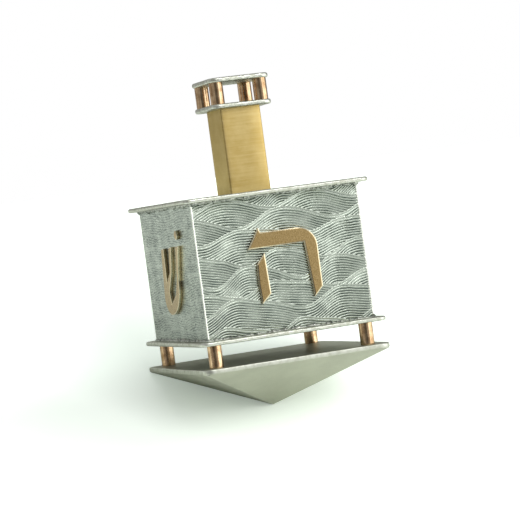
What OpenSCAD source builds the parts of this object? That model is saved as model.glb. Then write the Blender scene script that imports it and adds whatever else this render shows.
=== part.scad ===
// Spinning top with four lettered sides (a dreidel), fabricated from metal stock.
// A hollow square case of pewter sheet stands on four copper posts above a four-sided point.
// A square brass tube is the finger grip, crowned by two small plates on four more posts.
// Millimetres. Upright, the tip is at the origin and the spin axis is +Z.

/* [Pose] */
// How the top is placed: lying on the back facet of its point, or upright on its tip
pose = "resting"; // [resting, upright]

/* [Stock] */
// Thickness of the pewter sheet in the point, the case and the large plates
sheet_t = 1; // [0.8:0.1:2]
// Diameter of the copper rod that the posts are cut from
rod_d = 3.2; // [2.4:0.1:4]
// Depth of the drilled seat that each end of a post stands in
seat_depth = 0.4; // [0.2:0.1:0.6]

/* [Large plates] */
// How far the deck, floor and roof plates stand out past the case
plate_overhang = 2.5; // [1:0.25:6]
// Rounding of the plates' corners, seen from above
corner_r = 2.1; // [0.6:0.1:3]
// Rounding along the plates' edges
edge_r = 0.35; // [0.1:0.05:0.35]

/* [Point] */
// Height of the point from its tip to the underside of the deck plate
point_h = 10.6; // [8:0.1:20]

/* [Lower posts] */
// Clear height between the deck plate and the floor plate
lower_gap = 5; // [3:0.1:10]
// Distance from a lower post to the edge of the plates
lower_inset = 2.6; // [0.5:0.1:8]

/* [Case] */
// Width of the case across its walls
case_w = 39.5; // [34:0.5:60]
// Height of the walls
case_h = 30.5; // [26:0.5:45]

/* [Handle] */
// Width of the square tube
handle_w = 9.9; // [8:0.1:12]
// Length of the tube
handle_h = 19.5; // [14:0.5:30]
// Wall of the tube
handle_wall = 1.6; // [0.8:0.1:2.4]
// Rounding of the tube's outer corners
handle_r = 0.5; // [0.3:0.1:1.5]

/* [Cap] */
// Width of the cap's two plates
cap_w = 14.8; // [12:0.1:20]
// Thickness of the cap's plates
cap_t = 1.1; // [0.8:0.1:1.6]
// Clear height between the cap's plates
cap_gap = 4.9; // [3:0.1:8]
// Distance from a cap post to the edge of the plates
cap_inset = 0.55; // [0.45:0.05:1.2]

/* [Letters] */
// Height of a letter
letter_h = 17; // [12:0.5:19]
// Thickness of the brass sheet that the letters are sawn from
letter_t = 0.8; // [0.6:0.1:1.6]

/* [Hidden] */
$fn = 64;
// Room for solder between a post and the side of its seat
solder_gap = 0.05;
// How far a cut runs past what it cuts
overrun = 1;

// The sides in order, each a quarter turn on from the one before
SIDES = ["front", "right", "back", "left"];
CORNERS = ["front_left", "front_right", "back_right", "back_left"];

// Heights up the spin axis, from the tip
deck_z = point_h;
lower_post_z = deck_z + sheet_t - seat_depth;
floor_z = deck_z + sheet_t + lower_gap;
wall_z = floor_z + sheet_t;
roof_z = wall_z + case_h;
handle_z = roof_z + sheet_t;
cap_floor_z = handle_z + handle_h;
cap_post_z = cap_floor_z + cap_t - seat_depth;
cap_roof_z = cap_floor_z + cap_t + cap_gap;

// Width of the deck, floor and roof plates
plate_w = case_w + 2 * plate_overhang;

// Half the spacing of the posts, side to side
lower_post_at = plate_w / 2 - lower_inset - rod_d / 2;
cap_post_at = cap_w / 2 - cap_inset - rod_d / 2;

// Slope of a facet, which is also how far the top leans at rest
facet_slope = atan2(point_h, plate_w / 2);

// Letters, in shares of letter_h, with the origin at the lower left; the point of a letter that its
// centre names is soldered on the middle of the wall
he_centre_share = [0.49, 0.515];
he_arch_shares = [
    [0.02, 0.725], [0.19, 0.99], [0.215, 0.925], [0.98, 0.925], [0.98, 0.125], [0.855, 0], [0.8, 0.73]
];
he_shoulder_share = 0.26;
he_leg_shares = [[0.115, 0.515], [0.235, 0.655], [0.255, 0.12], [0.12, 0], [0.105, 0.255]];

gimel_centre_share = [0.31, 0.5];
gimel_shares = [
    [0.05, 0.735], [0.2, 1], [0.225, 0.93], [0.53, 0.93], [0.53, 0.31], [0.62, 0.04], [0.47, 0],
    [0.405, 0.2], [0.1, 0], [0, 0.13], [0.365, 0.39], [0.365, 0.735]
];
gimel_shoulder_share = 0.13;

nun_centre_share = [0.285, 0.5];
nun_shares = [
    [0.03, 0.735], [0.18, 1], [0.205, 0.93], [0.57, 0.93], [0.57, 0], [0.025, 0], [0, 0.185],
    [0.405, 0.185], [0.405, 0.735]
];
nun_shoulder_share = 0.14;

shin_centre_share = [0.345, 0.535];
shin_shares = [
    [0.11, 0.885], [0.215, 0.895], [0.185, 0.435], [0.36, 0.57], [0.45, 0.895], [0.56, 0.905],
    [0.435, 0.565], [0.24, 0.315], [0.275, 0.145], [0.51, 0.265], [0.65, 0.5], [0.75, 0.905],
    [0.875, 0.91], [0.7, 0.45], [0.7, 0], [0, 0], [0, 0.235]
];
shin_heel_share = 0.235;
shin_bowl_at_share = [0.25, 0.45];
shin_bowl_share = 0.45;
shin_dot_at_share = [0.83, 1.055];
shin_dot_share = 0.06;

pewter = "#a3a79c";
brass = "#c2a05a";
copper = "#b0764e";

// Turns what is modelled at the front, upright, to a side or a corner, and lays the top down
module placed(turn) {
    lean = pose == "resting" ? -facet_slope : 0;
    rotate([lean, 0, 0]) rotate([0, 0, 90 * turn]) children();
}

module rounded_square(w, r) {
    straight = w - 2 * r;
    square([straight, w], center = true);
    square([w, straight], center = true);
    for (x = [-straight, straight], y = [-straight, straight]) translate([x, y] / 2) circle(r);
}

// Half section of a plate's rim, r wide, with both of its outer edges softened
module rim_section(r, t, soft) {
    square([r - soft, t]);
    translate([0, soft]) square([r, t - 2 * soft]);
    for (z = [soft, t - soft]) translate([r - soft, z]) circle(soft);
}

// A square plate with round corners and soft edges, standing on z = 0
module soft_plate(w, t) {
    straight = w - 2 * corner_r;
    translate([0, 0, t / 2]) cube([straight, straight, t], center = true);
    for (turn = [0:3]) rotate(90 * turn) {
        translate([straight / 2, straight / 2, 0]) rotate_extrude(angle = 90)
            rim_section(corner_r, t, edge_r);
        translate([straight / 2, straight / 2, 0]) rotate([90, 0, 0]) linear_extrude(straight)
            rim_section(corner_r, t, edge_r);
    }
}

module at_four_corners(offset_xy, z) {
    for (x = [-offset_xy, offset_xy], y = [-offset_xy, offset_xy]) translate([x, y, z]) children();
}

// The blind hole, opening upwards at z = 0, that a post's end is soldered in
module post_seat() {
    translate([0, 0, -seat_depth]) cylinder(h = seat_depth + overrun, d = rod_d + 2 * solder_gap);
}

// One side of the hollow point: a sheet triangle, mitred to its neighbours and sanded to the deck
module point_facet() {
    half = plate_w / 2;
    long = plate_w + overrun;
    color(pewter) intersection() {
        linear_extrude(point_h) intersection() {
            polygon([[0, 0], [-half, -half], [half, -half]]);
            rounded_square(plate_w, corner_r);
        }
        rotate([-facet_slope, 0, 0]) translate([-long / 2, -long, 0]) cube([long, long, sheet_t]);
    }
}

module point_deck() {
    color(pewter) translate([0, 0, deck_z]) difference() {
        soft_plate(plate_w, sheet_t);
        at_four_corners(lower_post_at, sheet_t) post_seat();
    }
}

// A length of rod that bridges a gap, with both ends in their seats; it stands at the front left
module post(at, z, gap) {
    color(copper) translate([-at, -at, z]) cylinder(h = gap + 2 * seat_depth, d = rod_d);
}

module lower_post() {
    post(lower_post_at, lower_post_z, lower_gap);
}

module cap_post() {
    post(cap_post_at, cap_post_z, cap_gap);
}

module case_floor() {
    color(pewter) translate([0, 0, floor_z]) difference() {
        soft_plate(plate_w, sheet_t);
        at_four_corners(lower_post_at, 0) mirror([0, 0, 1]) post_seat();
    }
}

// One wall, mitred at 45 degrees at both ends
module case_wall() {
    outer = case_w / 2;
    inner = outer - sheet_t;
    color(pewter) translate([0, 0, wall_z]) linear_extrude(case_h)
        polygon([[-outer, -outer], [outer, -outer], [inner, -inner], [-inner, -inner]]);
}

module case_roof() {
    color(pewter) translate([0, 0, roof_z]) soft_plate(plate_w, sheet_t);
}

module handle() {
    color(brass) translate([0, 0, handle_z]) linear_extrude(handle_h) difference() {
        rounded_square(handle_w, handle_r);
        square(handle_w - 2 * handle_wall, center = true);
    }
}

module cap_floor() {
    color(pewter) translate([0, 0, cap_floor_z]) difference() {
        soft_plate(cap_w, cap_t);
        at_four_corners(cap_post_at, cap_t) post_seat();
    }
}

module cap_roof() {
    color(pewter) translate([0, 0, cap_roof_z]) difference() {
        soft_plate(cap_w, cap_t);
        at_four_corners(cap_post_at, 0) mirror([0, 0, 1]) post_seat();
    }
}

// A letter piece sawn from brass sheet, soldered on the front wall
module letter(centre_share) {
    color(brass) translate([0, -case_w / 2, wall_z + case_h / 2]) rotate([90, 0, 0])
        linear_extrude(letter_t) translate(-letter_h * centre_share) children();
}

module outline(shares) {
    polygon(letter_h * shares);
}

// What lies outside a round corner whose arc is centred on the origin, past the arc
module corner_waste(r) {
    difference() {
        square(r + overrun);
        circle(r);
    }
}

// An outline with its fourth point, the upper right corner, rounded into a shoulder
module shouldered(shares, r_share) {
    difference() {
        outline(shares);
        translate(letter_h * (shares[3] - [r_share, r_share])) corner_waste(letter_h * r_share);
    }
}

module letter_he_arch() {
    letter(he_centre_share) shouldered(he_arch_shares, he_shoulder_share);
}

module letter_he_leg() {
    letter(he_centre_share) outline(he_leg_shares);
}

module letter_gimel() {
    letter(gimel_centre_share) shouldered(gimel_shares, gimel_shoulder_share);
}

module letter_nun() {
    letter(nun_centre_share) shouldered(nun_shares, nun_shoulder_share);
}

// The shin's lower corners are sawn round, into a tight heel at the left and a wide bowl at the right
module letter_shin() {
    heel_r = letter_h * shin_heel_share;
    letter(shin_centre_share) difference() {
        outline(shin_shares);
        translate([heel_r, heel_r]) rotate(180) corner_waste(heel_r);
        translate(letter_h * shin_bowl_at_share) rotate(270) corner_waste(letter_h * shin_bowl_share);
    }
}

module letter_shin_dot() {
    letter(shin_centre_share) translate(letter_h * shin_dot_at_share) circle(letter_h * shin_dot_share);
}

for (i = [0:3]) {
    placed(i) point_facet();
    placed(i) lower_post();
    placed(i) case_wall();
    placed(i) cap_post();
}
placed(0) point_deck();
placed(0) case_floor();
placed(0) case_roof();
placed(0) handle();
placed(0) cap_floor();
placed(0) cap_roof();
placed(0) letter_he_arch();
placed(0) letter_he_leg();
placed(1) letter_gimel();
placed(2) letter_nun();
placed(3) letter_shin();
placed(3) letter_shin_dot();
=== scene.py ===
# Dresses a four-sided spinning top made of pewter sheet, brass and copper rod, in metres.
# It is built upright, tip at the origin and spin axis up, then laid on the back of its point.
import math

import bmesh
import bpy
from bpy.props import FloatProperty, FloatVectorProperty, IntProperty, PointerProperty
from mathutils import Matrix, Vector, noise


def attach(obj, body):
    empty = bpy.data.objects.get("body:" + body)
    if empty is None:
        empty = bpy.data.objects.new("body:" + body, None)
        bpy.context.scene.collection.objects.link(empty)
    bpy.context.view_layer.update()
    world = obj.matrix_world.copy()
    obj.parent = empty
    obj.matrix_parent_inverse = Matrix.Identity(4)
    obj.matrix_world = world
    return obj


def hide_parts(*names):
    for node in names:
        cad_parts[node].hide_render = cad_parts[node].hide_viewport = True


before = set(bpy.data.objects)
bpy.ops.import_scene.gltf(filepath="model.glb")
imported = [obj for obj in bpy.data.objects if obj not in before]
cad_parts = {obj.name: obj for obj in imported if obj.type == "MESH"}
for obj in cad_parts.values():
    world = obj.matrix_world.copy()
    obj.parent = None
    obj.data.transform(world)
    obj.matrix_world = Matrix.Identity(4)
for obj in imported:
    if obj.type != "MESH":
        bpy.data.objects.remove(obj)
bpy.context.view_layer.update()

bl_info = {
    "name": "Pewter Dreidel",
    "version": (1, 0, 0),
    "blender": (4, 5, 0),
    "location": "View3D > Sidebar > Dreidel",
    "description": "Builds a soldered pewter, brass and copper dreidel on its measured frame",
    "category": "Object",
}

MM = 0.001
SIDES = ("front", "right", "back", "left")
CORNERS = ("front_left", "front_right", "back_right", "back_left")
BLACK = (0, 0, 0, 1)

# Blender's words for the nodes and the socket that the trees use most
MATH = "ShaderNodeMath"
MIX = "ShaderNodeMix"
NOISE = "ShaderNodeTexNoise"
RANGE = "ShaderNodeMapRange"
NUMBER = "NodeSocketFloat"


def linear(code):
    """An sRGB hex colour as linear red, green and blue."""
    shares = [int(code[i:i + 2], 16) / 255 for i in (1, 3, 5)]
    return [s / 12.92 if s <= 0.04045 else ((s + 0.055) / 1.055) ** 2.4 for s in shares]


def length(name, millimetres, words):
    """A size that a user can change."""
    return FloatProperty(
        name=name, description=words, default=millimetres * MM, min=0, precision=5,
        unit="LENGTH",
    )


def colour(name, code, words):
    """A colour that a user can change."""
    return FloatVectorProperty(
        name=name, description=words, default=(*linear(code), 1), size=4, min=0, max=1,
        subtype="COLOR",
    )


class DreidelSizes(bpy.types.PropertyGroup):
    """Sizes of the top's pieces."""

    sheet: length("Sheet", 1.0, "Thickness of the pewter sheet")
    rod: length("Rod", 3.2, "Diameter of the copper rod")
    rod_chamfer: length("Rod Chamfer", 0.12, "Broken edge at the ends of a post")
    seat: length("Seat", 0.4, "Depth of the hole that a post stands in")
    plate: length("Plate", 44.5, "Width of the three large plates")
    corner: length("Corner", 2.1, "Rounding of the plates' corners")
    edge: length("Edge", 0.42, "Rounding of the plates' filed edges")
    deck_edge: length("Deck Edge", 0.28, "Rounding of the deck's upper edge")
    deck_foot: length("Deck Foot", 0.13, "Rounding of the deck's lower edge")
    deck_wear: length("Deck Wear", 0.1, "Unevenness of the deck's edge")
    floor_wear: length("Floor Wear", 0.14, "Unevenness of the case floor's edge")
    roof_wear: length("Roof Wear", 0.06, "Unevenness of the case roof's edge")
    cap_wear: length("Cap Wear", 0.16, "Unevenness of the cap plates' edges")
    point: length("Point", 10.6, "Height of the point below its deck")
    land: length("Land", 0.06, "Height of the upright land filed under the deck")
    ridge_rub: length("Ridge Rub", 0.32, "Width rubbed round along the point's ridges")
    tip_rub: length("Tip Rub", 0.1, "Height rubbed off the point's tip")
    lower_gap: length("Lower Gap", 5.0, "Clear height below the case")
    lower_inset: length("Lower Inset", 2.6, "Distance of the lower posts from the edge")
    case: length("Case", 39.5, "Width of the case")
    wall: length("Wall", 30.5, "Height of the case's walls")
    arris: length("Arris", 0.14, "Rounding of the case's upright corners")
    ridge: length("Ridge", 0.57, "Spacing of the ridges rolled into the walls")
    relief: length("Relief", 0.18, "Depth of the rolled ridges")
    border: length("Border", 0.16, "Plain width of a wall beside its corners")
    border_fade: length("Border Fade", 0.42, "Distance from a corner where the ridges are full")
    lip: length("Lip", 0.09, "How far the next wall's edge stands proud at a corner")
    lip_slope: length("Lip Slope", 0.36, "Width of the slope filed on that edge")
    swell: length("Swell", 1.75, "Height of a wave in the rolled pattern")
    wave: length("Wave", 23, "Length of a wave in the rolled pattern")
    wave_step: length("Wave Step", 3.9, "Height from one wave to the next")
    handle: length("Handle", 9.9, "Width of the square brass tube")
    handle_corner: length("Handle Corner", 0.35, "Rounding of the tube's corners")
    handle_wall: length("Handle Wall", 1.6, "Wall of the tube")
    handle_crown: length("Handle Crown", 0.24, "How far sanding lowered the tube's right corner")
    handle_wear: length("Handle Wear", 0.035, "Unevenness that sanding left on the tube")
    handle_height: length("Handle Height", 19.5, "Length of the tube")
    bore_corner: length("Bore Corner", 0.1, "Rounding inside the tube")
    cap: length("Cap", 14.8, "Width of the cap's plates")
    cap_sheet: length("Cap Sheet", 1.1, "Thickness of the cap's plates")
    cap_gap: length("Cap Gap", 4.9, "Clear height inside the cap")
    cap_inset: length("Cap Inset", 0.55, "Distance of the cap posts from the edge")
    letter_bevel: length("Letter Bevel", 0.3, "Width of the bevel filed round a letter's face")
    letter_fall: length("Letter Fall", 0.11, "Depth of the bevel filed round a letter's face")
    solder: length("Solder", 0.36, "Radius of the solder bead along the case's seams")
    solder_sink: length("Solder Sink", 0.05, "How far the bead's middle lies inside the walls")
    solder_gather: length("Solder Gather", 1.2, "Distance from a corner where solder gathers")
    solder_step: length("Solder Step", 0.3, "Spacing of the bead's rings")
    seed: IntProperty(name="Seed", description="Choice of hand-made unevenness", default=7)


class DreidelColours(bpy.types.PropertyGroup):
    """Colours of the top's metals."""

    pewter: colour("Pewter", "#cacdbc", "Satin pewter sheet")
    # Filed pewter; on the walls' corners it is also a painted highlight
    bright_pewter_and_sheen: colour("Bright Pewter", "#e0e3d8", "Pewter where a file has been")
    pewter_edge: colour("Pewter Edge", "#d6d4d0", "Tint of pewter that is seen along its face")
    ridge: colour("Ridge", "#b2baae", "Tops of the rolled ridges")
    patina: colour("Patina", "#45524d", "Dark left in the rolled grooves")
    brass: colour("Brass", "#cab47a", "Sanded brass tube")
    brass_dull: colour("Dull Brass", "#bba262", "Streaks in the sanded brass")
    brass_edge: colour("Brass Edge", "#fffae1", "Tint of brass that is seen along its face")
    letter: colour("Letter Brass", "#b0986a", "Sawn brass letters")
    letter_bright: colour("Bright Letter", "#f0e6c8", "Letters where a file has been")
    letter_dull: colour("Dull Letter", "#947d50", "Specks in the letters")
    copper: colour("Copper", "#e8caa2", "Drawn copper rod")
    copper_dull: colour("Dull Copper", "#96724c", "Tarnish on the rod")
    solder: colour("Solder", "#b9bcb2", "Soft solder in the seams")
    floor: colour("Floor", "#f0f6ef", "Pale floor under the top")
    # Tint of the card's glow for the camera, which rises behind the top as painted light and tints
    # the shadow
    shade: colour("Shade", "#f2fff5", "Glow of the floor from below")


class DreidelView(bpy.types.PropertyGroup):
    """Camera and light."""

    eye: FloatVectorProperty(
        name="Eye", description="Where the camera stands", size=3, subtype="TRANSLATION",
        default=(-0.175075, -0.437363, 0.256660),
    )
    aim: FloatVectorProperty(
        name="Aim", description="Point that the camera looks at", size=3,
        subtype="TRANSLATION", default=(0.001454, 0.014100, 0.030290),
    )
    roll: FloatProperty(
        name="Roll", description="Turn of the camera about its line of sight",
        default=math.radians(1.324), subtype="ANGLE",
    )
    lens: FloatProperty(
        name="Lens", description="Focal length on a 36 mm wide sensor", default=161.2,
        unit="CAMERA",
    )
    key: FloatProperty(
        name="Key", description="Power of the softbox that glints in the metals", default=1.45,
        unit="POWER",
    )
    fill: FloatProperty(
        name="Fill", description="Power of the softbox that lights the floor in front",
        default=7.5, unit="POWER",
    )
    rear: FloatProperty(
        name="Rear", description="Power of the softbox that lights the floor behind",
        default=7.5, unit="POWER",
    )
    world: FloatProperty(
        name="World", description="Strength of the light tent", default=1.0,
    )


def heights(sizes):
    """Heights up the spin axis, from the tip, of what stands on what."""
    level = {"deck": sizes.point}
    level["floor"] = level["deck"] + sizes.sheet + sizes.lower_gap
    level["wall"] = level["floor"] + sizes.sheet
    level["roof"] = level["wall"] + sizes.wall
    level["handle"] = level["roof"] + sizes.sheet
    level["cap_lower"] = level["handle"] + sizes.handle_height
    level["cap_upper"] = level["cap_lower"] + sizes.cap_sheet + sizes.cap_gap
    return level


def lean(sizes):
    """How far the top leans back when it lies on a facet of its point."""
    return math.atan2(sizes.point, sizes.plate / 2)


def lay_down(sizes, mesh, turn=0, lift=0.0):
    """Lifts an upright mesh, turns it to its side and lays it down with the top."""
    mesh.transform(
        Matrix.Rotation(-lean(sizes), 4, "X")
        @ Matrix.Rotation(math.radians(90 * turn), 4, "Z")
        @ Matrix.Translation((0, 0, lift))
    )


def side_normal(sizes, turn):
    """The way that a side of the top faces once it is laid down."""
    upright = Matrix.Rotation(math.radians(90 * turn), 3, "Z") @ Vector((0, -1, 0))
    return Matrix.Rotation(-lean(sizes), 3, "X") @ upright


def band(maker, low, high):
    """Closes the strip between two rings of as many points."""
    for i in range(len(low)):
        j = (i + 1) % len(low)
        maker.faces.new((low[i], low[j], high[j], high[i]))


def released(maker, name):
    """Hands back what a maker holds as a mesh, and frees the maker."""
    mesh = bpy.data.meshes.new(name)
    maker.to_mesh(mesh)
    maker.free()
    return mesh


def fit_out(name, mesh, material, nodes, crease=35):
    """Makes a finished mesh a piece that stands for its nodes."""
    mesh.name = name
    mesh.materials.clear()
    mesh.materials.append(material)
    mesh.shade_smooth()
    mesh.set_sharp_from_angle(angle=math.radians(crease))
    piece = bpy.data.objects.new(name, mesh)
    bpy.context.scene.collection.objects.link(piece)
    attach(piece, "root")
    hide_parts(*nodes)


def add(tree, kind, inputs=(), **settings):
    """Adds a node with its settings, and sets or links its inputs, by name or in their order."""
    node = tree.nodes.new(kind)
    for key, value in settings.items():
        setattr(node, key, value)
    if not isinstance(inputs, dict):
        inputs = dict(enumerate(inputs))
    in_use = [socket for socket in node.inputs if socket.enabled]
    for key, value in inputs.items():
        socket = in_use[key] if isinstance(key, int) else node.inputs[key]
        if isinstance(value, bpy.types.Node):
            value = next(output for output in value.outputs if output.enabled)
        if isinstance(value, bpy.types.NodeSocket):
            tree.links.new(value, socket)
        else:
            socket.default_value = value
    return node


# Materials. Patterns are in millimetres of the upright top.


def metal(name, sizes):
    """An empty metal: its tree, and upright coordinates in millimetres."""
    material = bpy.data.materials.new(name)
    material.use_nodes = True
    tree = material.node_tree
    tree.nodes.clear()
    place = add(tree, "ShaderNodeTexCoord").outputs["Object"]
    upright = add(tree, "ShaderNodeMapping", {
        "Vector": place, "Rotation": (lean(sizes), 0, 0), "Scale": (1 / MM,) * 3,
    })
    return material, tree, upright


def finish(material, shade):
    """Ends a metal's tree in its shader, with these inputs, and hands back the metal."""
    tree = material.node_tree
    shader = add(tree, "ShaderNodeBsdfPrincipled", {"Metallic": 1.0, **shade})
    add(tree, "ShaderNodeOutputMaterial", {"Surface": shader})
    return material


def satin_pewter(sizes, colours):
    """Cast pewter sheet, sanded to a satin: soft grey, cloudy, lighter where it was filed."""
    material, tree, upright = metal("Satin Pewter", sizes)
    # Millimetres across a cloud, a grain and a stroke of the file, and the depth of a grain
    cloud, grain, stroke, tooth = 7, 0.35, 1.1, 0.02
    clouds = add(tree, NOISE, {
        "Vector": upright, "Scale": 1 / cloud, "Detail": 3.0, "Roughness": 0.55,
    })
    grit = add(tree, NOISE, {
        "Vector": upright, "Scale": 1 / grain, "Detail": 3.0, "Roughness": 0.7,
    })
    strokes = add(tree, NOISE, {
        "Vector": upright, "Scale": 1 / stroke, "Detail": 2.0, "Roughness": 0.6,
    })
    patchy = add(tree, RANGE, {
        "Value": strokes, "From Min": 0.36, "From Max": 0.56, "To Min": 0.1, "To Max": 1.15,
    })
    edges = add(tree, "ShaderNodeAttribute", attribute_name="filed").outputs["Fac"]
    filed = add(tree, MATH, (edges, patchy), operation="MULTIPLY", use_clamp=True)
    shade = add(tree, RANGE, {
        "Value": clouds, "From Min": 0.3, "From Max": 0.7, "To Min": 0.86, "To Max": 1.0,
    })
    body = add(tree, MIX, (shade, BLACK, colours.pewter), data_type="RGBA")
    tone = add(tree, MIX, (filed, body, colours.bright_pewter_and_sheen), data_type="RGBA")
    worn = add(tree, RANGE, {
        "Value": grit, "From Min": 0.25, "From Max": 0.75, "To Min": 0.36, "To Max": 0.5,
    })
    rough = add(tree, MATH, (filed, -0.12, worn), operation="MULTIPLY_ADD")
    bump = add(tree, "ShaderNodeBump", {
        "Height": grit, "Strength": 0.25, "Distance": tooth * MM,
    })
    return finish(material, {
        "Base Color": tone, "Roughness": rough, "Normal": bump,
        "Specular Tint": colours.pewter_edge,
    })


def rolled_pewter(sizes, colours):
    """Pewter sheet rolled with a wave pattern: rubbed ridges over grooves dark with patina, and
    corners painted bright as a highlight.
    """
    material, tree, upright = metal("Rolled Pewter", sizes)
    # Millimetres across a cloud of patina and a grain, and the depth of a grain
    cloud, grain, tooth = 4, 0.3, 0.02
    depth = add(tree, "ShaderNodeAttribute", attribute_name="tarnish").outputs["Fac"]
    # The walls' corners: rubbed pewter, painted brighter as a highlight
    rubbed = add(tree, "ShaderNodeAttribute", attribute_name="rubbed").outputs["Fac"]
    clouds = add(tree, NOISE, {
        "Vector": upright, "Scale": 1 / cloud, "Detail": 4.0, "Roughness": 0.6,
    })
    grit = add(tree, NOISE, {
        "Vector": upright, "Scale": 1 / grain, "Detail": 3.0, "Roughness": 0.7,
    })
    spread = add(tree, RANGE, {
        "Value": clouds, "From Min": 0.3, "From Max": 0.7, "To Min": -0.18, "To Max": 0.18,
    })
    dirt = add(tree, MATH, (depth, spread), use_clamp=True)
    patina = add(tree, RANGE, {
        "Value": dirt, "From Min": 0.12, "From Max": 0.85,
    }, interpolation_type="SMOOTHSTEP")
    body = add(tree, MIX, (patina, colours.ridge, colours.patina), data_type="RGBA")
    # The corners take the bright pewter colour: burnished metal and a painted highlight
    tone = add(tree, MIX, (rubbed, body, colours.bright_pewter_and_sheen), data_type="RGBA")
    dull = add(tree, RANGE, {"Value": patina, "To Min": 0.27, "To Max": 0.4})
    rough = add(tree, MATH, (rubbed, -0.15, dull), operation="MULTIPLY_ADD")
    metallic = add(tree, RANGE, {"Value": patina, "To Min": 1.0, "To Max": 0.75})
    bump = add(tree, "ShaderNodeBump", {
        "Height": grit, "Strength": 0.3, "Distance": tooth * MM,
    })
    return finish(material, {
        "Metallic": metallic, "Base Color": tone, "Roughness": rough, "Normal": bump,
    })


def sanded_brass(sizes, colours):
    """Square brass tube, sanded across: warm yellow with fine level scratches."""
    material, tree, upright = metal("Sanded Brass", sizes)
    # Scratches to a millimetre, along and across: each is about 8 mm long and 0.4 mm from the next
    along, across = 0.12, 2.6
    # Millimetres across a cloud, and the depth of a scratch
    cloud, scratch = 3.5, 0.02
    drawn_out = add(tree, "ShaderNodeMapping", {
        "Vector": upright, "Scale": (along, along, across),
    })
    lines = add(tree, NOISE, {
        "Vector": drawn_out, "Scale": 1.0, "Detail": 5.0, "Roughness": 0.65,
    })
    clouds = add(tree, NOISE, {
        "Vector": upright, "Scale": 1 / cloud, "Detail": 3.0, "Roughness": 0.6,
    })
    mixed = add(tree, MATH, (lines, clouds))
    streak = add(tree, RANGE, {"Value": mixed, "From Min": 0.75, "From Max": 1.25})
    tone = add(tree, MIX, (streak, colours.brass_dull, colours.brass), data_type="RGBA")
    rough = add(tree, RANGE, {
        "Value": lines, "From Min": 0.3, "From Max": 0.7, "To Min": 0.32, "To Max": 0.42,
    })
    bump = add(tree, "ShaderNodeBump", {
        "Height": lines, "Strength": 0.2, "Distance": scratch * MM,
    })
    return finish(material, {
        "Base Color": tone, "Roughness": rough, "Normal": bump,
        "Specular Tint": colours.brass_edge,
    })


def sawn_brass(sizes, colours):
    """Brass sheet, sawn and rubbed with grit: a dull gold full of fine specks."""
    material, tree, upright = metal("Sawn Brass", sizes)
    # Millimetres across a speck, and its depth
    speck, tooth = 0.32, 0.03
    specks = add(tree, NOISE, {
        "Vector": upright, "Scale": 1 / speck, "Detail": 3.0, "Roughness": 0.75,
    })
    fade = add(tree, RANGE, {"Value": specks, "From Min": 0.36, "From Max": 0.62})
    body = add(tree, MIX, (fade, colours.letter_dull, colours.letter), data_type="RGBA")
    filed = add(tree, "ShaderNodeAttribute", attribute_name="filed").outputs["Fac"]
    tone = add(tree, MIX, (filed, body, colours.letter_bright), data_type="RGBA")
    rough = add(tree, RANGE, {
        "Value": specks, "From Min": 0.3, "From Max": 0.7, "To Min": 0.3, "To Max": 0.2,
    })
    bump = add(tree, "ShaderNodeBump", {
        "Height": specks, "Strength": 0.35, "Distance": tooth * MM,
    })
    return finish(material, {"Base Color": tone, "Roughness": rough, "Normal": bump})


def drawn_copper(sizes, colours):
    """Copper rod pulled through a die: a bright pink brown with lines along it and tarnish."""
    material, tree, upright = metal("Drawn Copper", sizes)
    # Millimetres from line to line, along a line, across a cloud of tarnish and down into a line
    gap, run, cloud, scratch = 0.3125, 10, 1.6, 0.02
    drawn_out = add(tree, "ShaderNodeMapping", {
        "Vector": upright, "Scale": (1 / gap, 1 / gap, 1 / run),
    })
    lines = add(tree, NOISE, {
        "Vector": drawn_out, "Scale": 1.0, "Detail": 3.0, "Roughness": 0.6,
    })
    tarnish = add(tree, NOISE, {
        "Vector": upright, "Scale": 1 / cloud, "Detail": 4.0, "Roughness": 0.6,
    })
    mixed = add(tree, MATH, (lines, tarnish))
    fade = add(tree, RANGE, {"Value": mixed, "From Min": 0.75, "From Max": 1.2})
    tone = add(tree, MIX, (fade, colours.copper_dull, colours.copper), data_type="RGBA")
    rough = add(tree, RANGE, {
        "Value": mixed, "From Min": 0.7, "From Max": 1.3, "To Min": 0.17, "To Max": 0.1,
    })
    bump = add(tree, "ShaderNodeBump", {
        "Height": lines, "Strength": 0.2, "Distance": scratch * MM,
    })
    return finish(material, {"Base Color": tone, "Roughness": rough, "Normal": bump})


def soft_solder(sizes, colours):
    """Tin solder that ran into a seam and set: brighter than the sheet, with a frosted skin."""
    material, tree, upright = metal("Soft Solder", sizes)
    # Millimetres across a patch of frost
    patch = 0.6
    frost = add(tree, NOISE, {
        "Vector": upright, "Scale": 1 / patch, "Detail": 4.0, "Roughness": 0.7,
    })
    fade = add(tree, RANGE, {"Value": frost, "From Min": 0.32, "From Max": 0.52})
    tone = add(tree, MIX, (fade, colours.patina, colours.solder), data_type="RGBA")
    rough = add(tree, RANGE, {
        "Value": frost, "From Min": 0.3, "From Max": 0.7, "To Min": 0.5, "To Max": 0.25,
    })
    return finish(material, {"Base Color": tone, "Roughness": rough})


def stock(name, context):
    """The named metal, made when it is first asked for."""
    made = bpy.data.materials.get(name)
    if made is None:
        make = {
            "Satin Pewter": satin_pewter, "Rolled Pewter": rolled_pewter,
            "Sanded Brass": sanded_brass, "Sawn Brass": sawn_brass,
            "Drawn Copper": drawn_copper, "Soft Solder": soft_solder,
        }[name]
        made = make(context.scene.dreidel_sizes, context.scene.dreidel_colours)
    return made


# Plates


def rounded_loop(width, radius, inset, per_side=110, per_arc=8):
    """Points round a square with round corners, drawn in from its edge, with outward normals."""
    points = []
    straight = width / 2 - radius
    small = radius - inset
    for turn in range(4):
        quarter = Matrix.Rotation(math.radians(90 * turn), 2)
        for i in range(per_side):
            share = -1 + 2 * i / per_side
            points.append((quarter @ Vector((straight + small, share * straight)),
                           quarter @ Vector((1, 0))))
        for i in range(per_arc):
            angle = math.radians(90 * i / per_arc)
            out = Vector((math.cos(angle), math.sin(angle)))
            points.append((quarter @ (Vector((straight, straight)) + small * out),
                           quarter @ out))
    return points


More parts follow.
